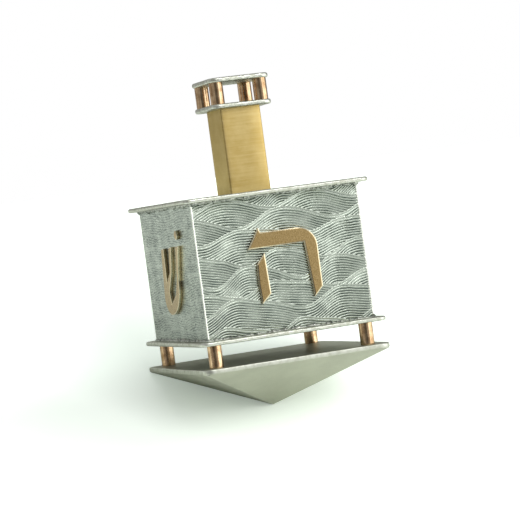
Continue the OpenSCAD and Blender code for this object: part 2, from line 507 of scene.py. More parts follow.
def soft_slab(width, thick, corner, edge, foot, shine, seed, uneven):
    """A square plate with round corners and filed edges, as a closed mesh on z = 0."""
    steps = 4
    arc = [math.radians(90 * i / steps) for i in range(steps + 1)]
    # The flat faces start a margin inside the rounding
    margin = 0.35 * MM
    flat_from = edge + margin
    section = [(flat_from, 0, 0.0)]
    section += [(foot * (1 - math.sin(a)), foot * (1 - math.cos(a)), foot / edge) for a in arc]
    section += [(edge * (1 - math.cos(a)), thick - edge * (1 - math.sin(a)), 1.0) for a in arc]
    section += [(flat_from, thick, 0.0)]
    # Distances between the nicks, the lumps and the long waves that a file leaves, of which each
    # plate has its own stretch
    nicks, lumps, waves = 1.1 * MM, 2.6 * MM, 14 * MM
    maker = bmesh.new()
    filed = maker.verts.layers.float.new("filed")
    rings = []
    for inset, z, worn in section:
        ring = []
        for flat, out in rounded_loop(width, corner, inset):
            spot = Vector((flat.x, flat.y, z))
            lump = noise.noise(spot / lumps + Vector((seed * 3.1, 0, 0)))
            wave = noise.noise(spot / waves + Vector((0, seed * 5.3, 0)))
            nick = noise.noise(spot / nicks + Vector((0, 0, seed * 2.3)))
            drawn = uneven * worn * (0.6 + 0.5 * lump + 0.35 * nick)
            bow = uneven * worn * 0.4 * wave
            vert = maker.verts.new((flat.x - out.x * drawn, flat.y - out.y * drawn, z + bow))
            vert[filed] = shine * worn * (0.75 + 0.25 * lump)
            ring.append(vert)
        rings.append(ring)
    for low, high in zip(rings, rings[1:]):
        band(maker, low, high)
    maker.faces.new(reversed(rings[0]))
    maker.faces.new(rings[-1])
    return released(maker, "slab")


class OBJECT_OT_dreidel_plates(bpy.types.Operator):
    """Make the deck, the case's floor and roof, and the cap's two plates"""

    bl_idname = "object.dreidel_plates"
    bl_label = "Plates"

    def execute(self, context):
        sizes = context.scene.dreidel_sizes
        level = heights(sizes)
        pewter = stock("Satin Pewter", context)
        large, small = (sizes.plate, sizes.sheet), (sizes.cap, sizes.cap_sheet)
        # Rounding above and below, and brightness, of a filed edge and of the deck's
        filed = (sizes.edge, sizes.edge, 1.0)
        flush = (sizes.deck_edge, sizes.deck_foot, 0.8)
        rows = (
            ("deck_plate", "point_deck", large, level["deck"], flush, sizes.deck_wear),
            ("floor_plate", "case_floor", large, level["floor"], filed, sizes.floor_wear),
            ("roof_plate", "case_roof", large, level["roof"], filed, sizes.roof_wear),
            ("cap_lower_plate", "cap_floor", small, level["cap_lower"], filed, sizes.cap_wear),
            ("cap_upper_plate", "cap_roof", small, level["cap_upper"], filed, sizes.cap_wear),
        )
        for index, (name, node, (width, thick), lift, worn, uneven) in enumerate(rows):
            mesh = soft_slab(width, thick, sizes.corner, *worn, sizes.seed + index, uneven)
            lay_down(sizes, mesh, lift=lift)
            fit_out(name, mesh, pewter, [node])
        return {"FINISHED"}


# Point


def ridge_height(sizes, x, y):
    """Height of the point's outside above a spot, with its ridges and its tip rubbed round."""
    slope = sizes.point / (sizes.plate / 2)
    a, b = abs(x), abs(y)
    high = slope * (a + b + math.hypot(a - b, sizes.ridge_rub)) / 2
    return math.hypot(high, sizes.tip_rub)


def facet(sizes, rows=40, columns=36):
    """The front facet of the point: a sheet triangle, mitred at both sides, closed."""
    # It stops short of the deck, at a narrow upright land
    half = sizes.plate / 2 * (1 - sizes.land / sizes.point)
    corner = half - sizes.corner
    depth = sizes.sheet / math.cos(lean(sizes))
    inner = sizes.plate / 2 * (1 - depth / sizes.point)
    # How much the corner's rounding tightens with each row down from the deck, and how wide the
    # ridges are filed bright
    tighter, bright = 0.15 * MM, 0.5 * MM
    maker = bmesh.new()
    filed = maker.verts.layers.float.new("filed")
    tip = maker.verts.new((0, 0, ridge_height(sizes, 0, 0)))
    grid = []
    for row in range(1, rows + 1):
        y = -half * (row / rows)
        limit = sizes.corner - tighter * (rows - row)
        line = []
        for column in range(columns + 1):
            share = math.sin(math.pi / 2 * (-1 + 2 * column / columns))
            spot = Vector((-share * y, y))
            over = Vector((max(abs(spot.x) - corner, 0), max(abs(spot.y) - corner, 0)))
            if over.x > 0 and over.length > limit:
                over *= limit / over.length
                spot = Vector((math.copysign(corner + over.x, spot.x), -corner - over.y))
            vert = maker.verts.new((spot.x, spot.y, ridge_height(sizes, spot.x, spot.y)))
            vert[filed] = 0.7 * max(0.0, 1 + y * (1 - abs(share)) / bright)
            line.append(vert)
        grid.append(line)
    rim = [maker.verts.new((v.co.x, v.co.y, sizes.point)) for v in grid[-1]]
    for vert in rim:
        vert[filed] = 0.6
    inside = [maker.verts.new((x, -inner, sizes.point)) for x in (-inner, inner)]
    heart = maker.verts.new((0, 0, depth))
    for column in range(columns):
        maker.faces.new((tip, grid[0][column + 1], grid[0][column]))
        for low, high in zip(grid, grid[1:] + [rim]):
            maker.faces.new((low[column], low[column + 1], high[column + 1], high[column]))
    maker.faces.new([*rim, inside[1], inside[0]])
    maker.faces.new((inside[0], inside[1], heart))
    left = [line[0] for line in grid]
    right = [line[-1] for line in grid]
    maker.faces.new([tip, *left, rim[0], inside[0], heart])
    maker.faces.new([heart, inside[1], rim[-1], *reversed(right), tip])
    bmesh.ops.recalc_face_normals(maker, faces=maker.faces)
    return released(maker, "facet")


class OBJECT_OT_dreidel_point(bpy.types.Operator):
    """Make the four mitred facets of the point"""

    bl_idname = "object.dreidel_point"
    bl_label = "Point"

    def execute(self, context):
        sizes = context.scene.dreidel_sizes
        pewter = stock("Satin Pewter", context)
        for turn, side in enumerate(SIDES):
            mesh = facet(sizes)
            lay_down(sizes, mesh, turn)
            fit_out(f"{side}_facet", mesh, pewter, [f"point_facet_{side}"])
        return {"FINISHED"}


# Geometry Nodes


def new_tree(name, inputs, result="NodeSocketGeometry"):
    """An empty Geometry Nodes tree, and its named inputs."""
    tree = bpy.data.node_groups.new(name, "GeometryNodeTree")
    for label, kind in inputs.items():
        tree.interface.new_socket(label, in_out="INPUT", socket_type=kind)
    tree.interface.new_socket("Result", in_out="OUTPUT", socket_type=result)
    return tree, add(tree, "NodeGroupInput").outputs


def end(tree, given, shape):
    """Ends a tree with its shape made real, in its material."""
    real = add(tree, "GeometryNodeRealizeInstances", {"Geometry": shape})
    finished = add(tree, "GeometryNodeSetMaterial", {
        "Geometry": real, "Material": given["Material"],
    })
    add(tree, "NodeGroupOutput", (finished,))
    return tree


def grow(tree, values):
    """Runs a tree with these inputs and hands back what it makes as a plain mesh."""
    holder = bpy.data.objects.new(tree.name, bpy.data.meshes.new(tree.name))
    bpy.context.scene.collection.objects.link(holder)
    modifier = holder.modifiers.new(tree.name, "NODES")
    modifier.node_group = tree
    for item in tree.interface.items_tree:
        if item.in_out == "INPUT":
            modifier[item.identifier] = values[item.name]
    graph = bpy.context.evaluated_depsgraph_get()
    mesh = bpy.data.meshes.new_from_object(
        holder.evaluated_get(graph), preserve_all_data_layers=True, depsgraph=graph,
    )
    holder.modifiers.remove(modifier)
    bpy.data.objects.remove(holder)
    return mesh


# Walls


def wave_layer():
    """One overlapping wave: where it lies over what came before, its own count of ridges."""
    names = ("Along", "Up", "Ridges", "Layer", "Side", "Step", "Swell", "Wave", "Ridge")
    tree, given = new_tree("Wave Layer", dict.fromkeys(names, NUMBER), NUMBER)
    # Numbers from 0 to 1 that differ from layer to layer and from side to side, taken from sums
    # that a whole number keeps above zero
    whole = 40.0
    chances = []
    for by_layer, by_side in ((0.618034, 0.37), (0.754878, 0.21), (0.414214, 0.29)):
        start = add(tree, MATH, (given["Side"], by_side, whole), operation="MULTIPLY_ADD")
        total = add(tree, MATH, (given["Layer"], by_layer, start), operation="MULTIPLY_ADD")
        chances.append(add(tree, MATH, (total,), operation="FRACT"))
    first, second, third = chances
    # Where along its length the wave is, as an angle
    longer = add(tree, MATH, (second, 0.4, 0.8), operation="MULTIPLY_ADD")
    span = add(tree, MATH, (given["Wave"], longer), operation="MULTIPLY")
    late = add(tree, MATH, (third, 0.35), operation="MULTIPLY")
    shift = add(tree, MATH, (given["Layer"], 0.5, late), operation="MULTIPLY_ADD")
    waves = add(tree, MATH, (given["Along"], span), operation="DIVIDE")
    turns = add(tree, MATH, (waves, shift), operation="ADD")
    angle = add(tree, MATH, (turns, math.tau), operation="MULTIPLY")
    # Its rise and fall: steeper on one side, with a small ripple
    sway = add(tree, MATH, (angle,), operation="SINE")
    leaning = add(tree, MATH, (sway, 0.35, angle), operation="MULTIPLY_ADD")
    roll = add(tree, MATH, (leaning,), operation="SINE")
    quick = add(tree, MATH, (angle, 2.1, first), operation="MULTIPLY_ADD")
    ripple = add(tree, MATH, (quick,), operation="SINE")
    small = add(tree, MATH, (given["Swell"], 0.1), operation="MULTIPLY")
    rippled = add(tree, MATH, (ripple, small), operation="MULTIPLY")
    higher = add(tree, MATH, (first, 0.6, 0.6), operation="MULTIPLY_ADD")
    swell = add(tree, MATH, (given["Swell"], higher), operation="MULTIPLY")
    rise = add(tree, MATH, (roll, swell, rippled), operation="MULTIPLY_ADD")
    # How many ridges a spot lies below the crest
    uneven = add(tree, MATH, (second, 0.5, 0.35), operation="MULTIPLY_ADD")
    level = add(tree, MATH, (given["Layer"], uneven), operation="ADD")
    crest = add(tree, MATH, (level, given["Step"], rise), operation="MULTIPLY_ADD")
    below = add(tree, MATH, (crest, given["Up"]), operation="SUBTRACT")
    ridges = add(tree, MATH, (below, given["Ridge"]), operation="DIVIDE")
    count = add(tree, MATH, (ridges, 0.3), operation="SUBTRACT")
    covered = add(tree, MATH, (below, 0.0), operation="GREATER_THAN")
    add(tree, "NodeGroupOutput", (add(tree, MIX, (covered, given["Ridges"], count)),))
    return tree


def wave_sheet(layers):
    """A wall's outer face: waves of fine ridges pressed into it, with its edges rubbed down and
    its corners marked for a painted highlight.
    """
    names = ("Width", "Height", "Arris", "Side", "Step", "Swell", "Wave", "Ridge", "Relief",
             "Stain", "Border", "Border Fade", "Lip", "Lip Slope")
    tree, given = new_tree("Wave Sheet", {
        **dict.fromkeys(names, NUMBER), **dict.fromkeys(("Columns", "Rows"), "NodeSocketInt"),
        "Material": "NodeSocketMaterial",
    })
    # Sizes of a bend in a ridge, of a grain of the sheet and of a patch
    bend, grain, patch = 2.2 * MM, 0.8 * MM, 5 * MM
    # The grid ends where the rounded corner turns halfway to the next wall
    cut = -2 * (1 - math.sqrt(0.5))
    trimmed = add(tree, MATH, (given["Arris"], cut, given["Width"]), operation="MULTIPLY_ADD")
    grid = add(tree, "GeometryNodeMeshGrid", {
        "Size X": trimmed, "Size Y": given["Height"], "Vertices X": given["Columns"],
        "Vertices Y": given["Rows"],
    })
    place = add(tree, "GeometryNodeInputPosition")
    axes = add(tree, "ShaderNodeSeparateXYZ", (place,)).outputs
    up = add(tree, MATH, (given["Height"], 0.5, axes["Y"]), operation="MULTIPLY_ADD")
    layer_tree = wave_layer()
    ridges = 0.0
    for layer in range(layers, -2, -1):
        ridges = add(tree, "GeometryNodeGroup", {
            "Along": axes["X"], "Up": up, "Ridges": ridges, "Layer": layer,
            **{name: given[name] for name in ("Side", "Step", "Swell", "Wave", "Ridge")},
        }, node_tree=layer_tree)
    # The ridges wander, and where the sheet was rolled lightly its grain breaks them up
    drift = add(tree, NOISE, {"Vector": place, "Scale": 1 / bend, "Detail": 1.0})
    aside = add(tree, MATH, (drift, 0.5), operation="SUBTRACT")
    wandering = add(tree, MATH, (aside, 0.55, ridges), operation="MULTIPLY_ADD")
    grit = add(tree, NOISE, {"Vector": place, "Scale": 1 / grain, "Detail": 1.0})
    jump = add(tree, MATH, (grit, 0.5), operation="SUBTRACT")
    jumpy = add(tree, MATH, (given["Stain"], 3.6), operation="MULTIPLY")
    broken = add(tree, MATH, (jump, jumpy, wandering), operation="MULTIPLY_ADD")
    angle = add(tree, MATH, (broken, math.pi), operation="MULTIPLY")
    swing = add(tree, MATH, (angle,), operation="COSINE")
    arch = add(tree, MATH, (swing,), operation="ABSOLUTE")
    crown = add(tree, MATH, (arch, 0.8), operation="POWER")
    # The first ridge of a wave is rubbed the most, and patches of the sheet were rolled lightly
    later = add(tree, RANGE, {
        "Value": ridges, "From Min": 0.1, "From Max": 1.4,
    }, interpolation_type="SMOOTHSTEP")
    worn = add(tree, NOISE, {"Vector": place, "Scale": 1 / patch, "Detail": 2.0})
    lighter = add(tree, RANGE, {
        "Value": worn, "From Min": 0.34, "From Max": 0.6, "To Min": 0.75, "To Max": 1.15,
    })
    fuller = add(tree, MATH, (later, 0.45, 0.55), operation="MULTIPLY_ADD")
    press = add(tree, MATH, (lighter, fuller), operation="MULTIPLY")
    # A plain border is left beside the corners
    half = add(tree, MATH, (given["Width"], 0.5), operation="MULTIPLY")
    off_middle = add(tree, MATH, (axes["X"],), operation="ABSOLUTE")
    past = add(tree, MATH, (half, off_middle), operation="SUBTRACT")
    inside = add(tree, RANGE, {
        "Value": past, "From Min": given["Border"], "From Max": given["Border Fade"],
    }, interpolation_type="SMOOTHSTEP")
    valley = add(tree, MATH, (1.0, crown), operation="SUBTRACT")
    groove = add(tree, MATH, (valley, inside), operation="MULTIPLY")
    pressed_in = add(tree, MATH, (groove, press), operation="MULTIPLY")
    # The corner is rounded
    short = add(tree, MATH, (given["Arris"], past), operation="SUBTRACT")
    reach = add(tree, MATH, (short, 0.0), operation="MAXIMUM")
    reach_square = add(tree, MATH, (reach, reach), operation="MULTIPLY")
    arris_square = add(tree, MATH, (given["Arris"], given["Arris"]), operation="MULTIPLY")
    chord_square = add(tree, MATH, (arris_square, reach_square), operation="SUBTRACT")
    chord = add(tree, MATH, (chord_square,), operation="SQRT")
    rounding = add(tree, MATH, (given["Arris"], chord), operation="SUBTRACT")
    # The wall next on the left shows its edge there, filed to a slope that catches the light
    from_left = add(tree, MATH, (given["Width"], 0.5, axes["X"]), operation="MULTIPLY_ADD")
    slope = add(tree, RANGE, {
        "Value": from_left, "From Max": given["Lip Slope"], "To Min": 1.0, "To Max": 0.0,
    })
    proud = add(tree, MATH, (slope, given["Lip"]), operation="MULTIPLY")
    drop = add(tree, MATH, (rounding, proud), operation="SUBTRACT")
    # Ridges are a little lower than the border, and a stain spreads the patina evenly
    ridged = add(tree, MATH, (later, inside), operation="MULTIPLY")
    lower = add(tree, MATH, (ridged, 0.2), operation="MULTIPLY")
    deep = add(tree, MATH, (pressed_in, lower), operation="ADD")
    sunk = add(tree, MATH, (deep, given["Relief"], drop), operation="MULTIPLY_ADD")
    inward = add(tree, MATH, (sunk, -1.0), operation="MULTIPLY")
    stained = add(tree, MIX, (given["Stain"], pressed_in, 0.45))
    # The border beside the corners is stored for a bright colour: rubbed pewter and a painted
    # highlight
    bare_and_sheen = add(tree, MATH, (1.0, inside), operation="SUBTRACT")
    shape = add(tree, "GeometryNodeSetPosition", {
        "Geometry": grid, "Offset": add(tree, "ShaderNodeCombineXYZ", {"Z": inward}),
    })
    for name, value in (("tarnish", stained), ("rubbed", bare_and_sheen)):
        shape = add(tree, "GeometryNodeStoreNamedAttribute", {
            "Geometry": shape, "Name": name, "Value": value,
        }, data_type="FLOAT", domain="POINT")
    return end(tree, given, shape)


def back_up(mesh, width, sheet):
    """Gives a pressed face its mitred edges and its plain back, so that the wall is closed."""
    maker = bmesh.new()
    maker.from_mesh(mesh)
    rim = [e for e in maker.edges if e.is_boundary]
    across = max(abs(v.co.x) for v in maker.verts)
    shrink = (width / 2 - sheet) / across
    behind = {}
    for vert in dict.fromkeys(v for e in rim for v in e.verts):
        behind[vert] = maker.verts.new((vert.co.x * shrink, vert.co.y, -sheet))
    for edge in rim:
        a, b = edge.verts
        maker.faces.new((a, b, behind[b], behind[a]))
    back = [e for e in maker.edges if e.is_boundary]
    bmesh.ops.contextual_create(maker, geom=back)
    bmesh.ops.recalc_face_normals(maker, faces=maker.faces)
    maker.to_mesh(mesh)
    maker.free()


# Shares of the swell and the relief, and of patina left evenly, on a well rolled wall and on the
# one that was rolled lightly
WELL_ROLLED = (1.0, 1.0, 0.0)
LIGHTLY_ROLLED = {"left": (0.3, 0.25, 0.5)}


class OBJECT_OT_dreidel_walls(bpy.types.Operator):
    """Roll the four walls of the case with their waves"""

    bl_idname = "object.dreidel_walls"
    bl_label = "Walls"

    def execute(self, context):
        sizes = context.scene.dreidel_sizes
        level = heights(sizes)
        pewter = stock("Rolled Pewter", context)
        tree = wave_sheet(layers=math.ceil(sizes.wall / sizes.wave_step) + 1)
        # Points across and up a wall, about six from ridge to ridge
        columns, rows = 280, 345
        for turn, side in enumerate(SIDES):
            swell, relief, stain = LIGHTLY_ROLLED.get(side, WELL_ROLLED)
            mesh = grow(tree, {
                "Width": sizes.case, "Height": sizes.wall, "Arris": sizes.arris,
                "Columns": columns, "Rows": rows, "Side": float(turn), "Step": sizes.wave_step,
                "Swell": swell * sizes.swell, "Wave": sizes.wave, "Ridge": sizes.ridge,
                "Relief": relief * sizes.relief, "Stain": stain, "Border": sizes.border,
                "Border Fade": sizes.border_fade, "Lip": sizes.lip,
                "Lip Slope": sizes.lip_slope, "Material": pewter,
            })
            back_up(mesh, sizes.case, sizes.sheet)
            mesh.transform(
                Matrix.Translation((0, -sizes.case / 2, level["wall"] + sizes.wall / 2))
                @ Matrix.Rotation(math.radians(90), 4, "X")
            )
            lay_down(sizes, mesh, turn)
            fit_out(f"{side}_wall", mesh, pewter, [f"case_wall_{side}"], crease=50)
        return {"FINISHED"}


# Posts


def post_tree():
    """Four equal lengths of rod at the corners of a square, with their ends broken."""
    tree, given = new_tree("Corner Posts", {
        **dict.fromkeys(("Spacing", "Height", "Diameter", "Chamfer"), NUMBER),
        **dict.fromkeys(("Rings", "Around", "Seed"), "NodeSocketInt"),
        "Material": "NodeSocketMaterial",
    })
    top = add(tree, "ShaderNodeCombineXYZ", {"Z": given["Height"]})
    line = add(tree, "GeometryNodeCurvePrimitiveLine", {"End": top})
    steps = add(tree, "GeometryNodeResampleCurve", {"Curve": line, "Count": given["Rings"]})
    from_foot = add(tree, "GeometryNodeSplineParameter").outputs["Length"]
    from_top = add(tree, MATH, (given["Height"], from_foot), operation="SUBTRACT")
    from_end = add(tree, MATH, (from_foot, from_top), operation="MINIMUM")
    short = add(tree, MATH, (given["Chamfer"], from_end), operation="SUBTRACT")
    broken = add(tree, MATH, (short, 0.0), operation="MAXIMUM")
    half = add(tree, MATH, (given["Diameter"], 0.5), operation="MULTIPLY")
    radius = add(tree, MATH, (half, broken), operation="SUBTRACT")
    ring = add(tree, "GeometryNodeCurvePrimitiveCircle", {
        "Resolution": given["Around"], "Radius": 1.0,
    })
    rod = add(tree, "GeometryNodeCurveToMesh", {
        "Curve": steps, "Profile Curve": ring, "Scale": radius, "Fill Caps": True,
    })
    corners = add(tree, "GeometryNodeMeshGrid", {
        "Size X": given["Spacing"], "Size Y": given["Spacing"], "Vertices X": 2,
        "Vertices Y": 2,
    })
    spin = add(tree, "FunctionNodeRandomValue", {
        "Max": (0.0, 0.0, math.tau), "Seed": given["Seed"],
    }, data_type="FLOAT_VECTOR")
    stood = add(tree, "GeometryNodeInstanceOnPoints", {
        "Points": corners, "Instance": rod, "Rotation": spin,
    })
    return end(tree, given, stood)


class OBJECT_OT_dreidel_posts(bpy.types.Operator):
    """Stand the copper posts under the case and in the cap"""

    bl_idname = "object.dreidel_posts"
    bl_label = "Posts"

    def execute(self, context):
        sizes = context.scene.dreidel_sizes
        level = heights(sizes)
        copper = stock("Drawn Copper", context)
        tree = post_tree()
        rows = (
            ("lower", sizes.plate, sizes.lower_inset, sizes.lower_gap,
             level["deck"] + sizes.sheet),
            ("cap", sizes.cap, sizes.cap_inset, sizes.cap_gap,
             level["cap_lower"] + sizes.cap_sheet),
        )
        for group, width, inset, gap, foot in rows:
            mesh = grow(tree, {
                "Spacing": width - 2 * inset - sizes.rod, "Height": gap + 2 * sizes.seat,
                "Diameter": sizes.rod, "Chamfer": sizes.rod_chamfer, "Rings": 65,
                "Around": 40, "Seed": sizes.seed, "Material": copper,
            })
            lay_down(sizes, mesh, lift=foot - sizes.seat)
            fit_out(f"{group}_posts", mesh, copper,
                    [f"{group}_post_{corner}" for corner in CORNERS])
        return {"FINISHED"}


# Handle


def tube(sizes, rows=40, per_side=24, per_arc=8):
    """The square tube upright, sanded most where its front meets its right side, closed."""
    # Distance between the hollows that sanding leaves
    hollows = 4 * MM
    # Powers that spread the sanding over a face or keep it to the corner
    spread, kept = 3, 12
    maker = bmesh.new()
    rings = []
    for row in range(rows + 1):
        z = sizes.handle_height * row / rows
        ring = []
        for flat, out in rounded_loop(sizes.handle, sizes.handle_corner, 0, per_side, per_arc):
            spot = Vector((flat.x, flat.y, z))
            aside = min(abs(flat.x), abs(flat.y)) / (sizes.handle / 2)
            favoured = flat.x > 0 > flat.y
            sag = sizes.handle_crown if favoured else sizes.handle_crown / 4
            sag *= aside ** (spread if favoured and -flat.y >= flat.x else kept)
            sag += sizes.handle_wear * (0.5 + 0.5 * noise.noise(spot / hollows))
            ring.append(maker.verts.new((flat.x - out.x * sag, flat.y - out.y * sag, z)))
        rings.append(ring)
    bore = sizes.handle - 2 * sizes.handle_wall
    for z in (sizes.handle_height, 0):
        rings.append([maker.verts.new((flat.x, flat.y, z)) for flat, out in
                      rounded_loop(bore, sizes.bore_corner, 0, per_side, per_arc)])
    for low, high in zip(rings, rings[1:] + rings[:1]):
        band(maker, low, high)
    return released(maker, "tube")


class OBJECT_OT_dreidel_handle(bpy.types.Operator):
    """Make the square brass tube that the top is spun by"""

    bl_idname = "object.dreidel_handle"
    bl_label = "Handle"

    def execute(self, context):
        sizes = context.scene.dreidel_sizes
        mesh = tube(sizes)
        lay_down(sizes, mesh, lift=heights(sizes)["handle"])
        fit_out("handle_tube", mesh, stock("Sanded Brass", context), ["handle"])
        return {"FINISHED"}


# Letters


def rubbed_letter(sizes, name, outward):
    """A copy of a sawn letter, with a bevel filed round its face."""
    # Points this close are one, and points this near the face are on it
    weld, skin = 0.001 * MM, 0.01 * MM
    maker = bmesh.new()
    maker.from_mesh(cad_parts[f"letter_{name}"].data)
    bmesh.ops.remove_doubles(maker, verts=maker.verts, dist=weld)
    bmesh.ops.dissolve_limit(
        maker, angle_limit=math.radians(1), verts=maker.verts, edges=maker.edges)
    face = [f for f in maker.faces if f.normal.dot(outward) > 0.9]
    bmesh.ops.inset_region(
        maker, faces=face, thickness=sizes.letter_bevel, use_even_offset=True)
    maker.normal_update()
    sawn = [f for f in maker.faces if abs(f.normal.dot(outward)) < 0.1]
    filed = maker.verts.layers.float.new("filed")
    top = max(v.co.dot(outward) for v in maker.verts)
    for vert in {v for f in sawn for v in f.verts}:
        if vert.co.dot(outward) > top - skin:
            vert.co -= outward * sizes.letter_fall
            vert[filed] = 1.0
    return released(maker, name)


class OBJECT_OT_dreidel_letters(bpy.types.Operator):
    """Saw the letters of the four sides and rub their edges"""

    bl_idname = "object.dreidel_letters"
    bl_label = "Letters"

    def execute(self, context):
        sizes = context.scene.dreidel_sizes
        brass = stock("Sawn Brass", context)
        rows = (
            ("he_arch", "front"), ("he_leg", "front"), ("gimel", "right"), ("nun", "back"),
            ("shin", "left"), ("shin_dot", "left"),
        )
        for name, side in rows:
            mesh = rubbed_letter(sizes, name, side_normal(sizes, SIDES.index(side)))
            fit_out(f"{name}_letter", mesh, brass, [f"letter_{name}"], crease=15)
        return {"FINISHED"}


# Solder


def bead_tree():
    """An uneven bead that runs round a square seam and gathers in its corners."""
    tree, given = new_tree("Solder Bead", {
        **dict.fromkeys(("Width", "Radius", "Spacing", "Gather"), NUMBER),
        "Around": "NodeSocketInt", "Offset": "NodeSocketVector",
        "Material": "NodeSocketMaterial",
    })
    seam = add(tree, "GeometryNodeCurvePrimitiveQuadrilateral", {
        "Width": given["Width"], "Height": given["Width"],
    })
    steps = add(tree, "GeometryNodeResampleCurve", {
        "Curve": seam, "Length": given["Spacing"],
    }, mode="LENGTH")
    lump = 1.4 * MM
    place = add(tree, "GeometryNodeInputPosition")
    spot = add(tree, "ShaderNodeVectorMath", (place, given["Offset"]), operation="ADD")
    lumps = add(tree, NOISE, {
        "Vector": spot, "Scale": 1 / lump, "Detail": 3.0, "Roughness": 0.65,
    })
    share = add(tree, RANGE, {
        "Value": lumps, "From Min": 0.38, "From Max": 0.68, "To Min": 0.2, "To Max": 1.6,
    })
    off_middle = add(tree, "ShaderNodeVectorMath", (place,), operation="ABSOLUTE")
    axes = add(tree, "ShaderNodeSeparateXYZ", (off_middle,)).outputs
    lesser = add(tree, MATH, (axes["X"], axes["Y"]), operation="MINIMUM")
    half = add(tree, MATH, (given["Width"], 0.5), operation="MULTIPLY")
    from_corner = add(tree, MATH, (half, lesser), operation="SUBTRACT")
    gathered = add(tree, RANGE, {
        "Value": from_corner, "From Max": given["Gather"], "To Min": 0.5, "To Max": 0.0,
    }, interpolation_type="SMOOTHSTEP")
    full = add(tree, MATH, (share, gathered), operation="ADD")
    radius = add(tree, MATH, (full, given["Radius"]), operation="MULTIPLY")
    ring = add(tree, "GeometryNodeCurvePrimitiveCircle", {
        "Resolution": given["Around"], "Radius": 1.0,
    })
    bead = add(tree, "GeometryNodeCurveToMesh", {
        "Curve": steps, "Profile Curve": ring, "Scale": radius,
    })
    return end(tree, given, bead)


class OBJECT_OT_dreidel_solder(bpy.types.Operator):
    """Run solder along the foot and the top of the case's walls"""

    bl_idname = "object.dreidel_solder"
    bl_label = "Solder"

    def execute(self, context):
        sizes = context.scene.dreidel_sizes
        level = heights(sizes)
        solder = stock("Soft Solder", context)
        tree = bead_tree()
        # The bead is a little heavier at the top
        for seam, lift, more in (("foot", level["wall"], 1.4), ("top", level["roof"], 1.6)):
            mesh = grow(tree, {
                "Width": sizes.case - 2 * sizes.solder_sink, "Radius": more * sizes.solder,
                "Spacing": sizes.solder_step, "Gather": sizes.solder_gather, "Around": 10,
                "Offset": (0.0, 0.0, 3 * lift), "Material": solder,
            })
            lay_down(sizes, mesh, lift=lift)
            fit_out(f"case_{seam}_solder", mesh, solder, [], crease=60)
        return {"FINISHED"}


# Stage

# The tent's brightness by degrees to the right of the camera: a dark gap where the camera looks
# in, a softbox to the right of it and paler cloth on the left and behind
TENT = (
    (-180, 0.2), (-160, 0.45), (-100, 0.54), (-70, 0.42), (-34, 0.36), (-18, 0.13), (10, 0.13),
    (20, 0.4), (42, 0.52), (54, 2.1), (100, 2.1), (118, 0.4), (180, 0.2),
)
TENT_TOP = 0.45
# Upward shares of a look at which the tent's top begins and is full
TENT_BROW = (0.5, 0.72)

# Each softbox's name, its width and place in metres, and whether the metals mirror it
SOFTBOXES = (
    ("key", 0.36, (0.115, -0.383, 0.693), True),
    ("fill", 0.8, (0.384, -1.02, 1.17), False),
    ("rear", 1.0, (1.131, -0.027, 1.131), False),
)
SOFTBOX_AIM = Vector((0, 0, 30 * MM))

# The card reaches this far to the front and sides, and behind, and lies just clear of the top
CARD, CARD_BEHIND, CARD_LEVEL = 400 * MM, 130 * MM, -0.05 * MM
# Depths behind the tip between which its glow rises, painted light that whitens the floor and the
# shadow there
CARD_PAINTED_GLOW = (10 * MM, 36 * MM)


def tent(view):
    """A white light tent that is bright on the right and dark where the camera looks in."""
    world = bpy.data.worlds.new("Light Tent")
    world.use_nodes = True
    tree = world.node_tree
    tree.nodes.clear()
    look = add(tree, "ShaderNodeTexCoord").outputs["Generated"]
    seen = add(tree, "ShaderNodeLightPath").outputs["Is Camera Ray"]
    sight = view.eye - view.aim
    towards = Vector((sight.x, sight.y, 0)).normalized()
    right = Vector((-towards.y, towards.x, 0))
    shares = [
        add(tree, "ShaderNodeVectorMath", (look, way), operation="DOT_PRODUCT")
        for way in (right, towards, Vector((0, 0, 1)))
    ]
    angle = add(tree, MATH, shares[:2], operation="ARCTAN2")
    turn = add(tree, MATH, (angle, 1 / math.tau, 0.5), operation="MULTIPLY_ADD")
    cloth = add(tree, "ShaderNodeValToRGB", (turn,))
    peak = max(level for _, level in TENT)
    stops = cloth.color_ramp.elements
    while len(stops) < len(TENT):
        stops.new(0.5)
    for stop, (degrees, level) in zip(stops, TENT):
        stop.position = degrees / 360 + 0.5
        stop.color = (level / peak,) * 3 + (1,)
    walls = add(tree, MATH, (cloth, peak), operation="MULTIPLY")
    start, full = TENT_BROW
    overhead = add(tree, RANGE, {
        "Value": shares[2], "From Min": start, "From Max": full,
    }, interpolation_type="SMOOTHSTEP")
    glow = add(tree, MIX, (overhead, walls, TENT_TOP))
    dimmed = add(tree, MATH, (glow, view.world), operation="MULTIPLY")
    shader = add(tree, "ShaderNodeBackground", {
        "Color": (1, 1, 1, 1), "Strength": add(tree, MIX, (seen, dimmed, 1.0)),
    })
    add(tree, "ShaderNodeOutputWorld", {"Surface": shader})
    return world


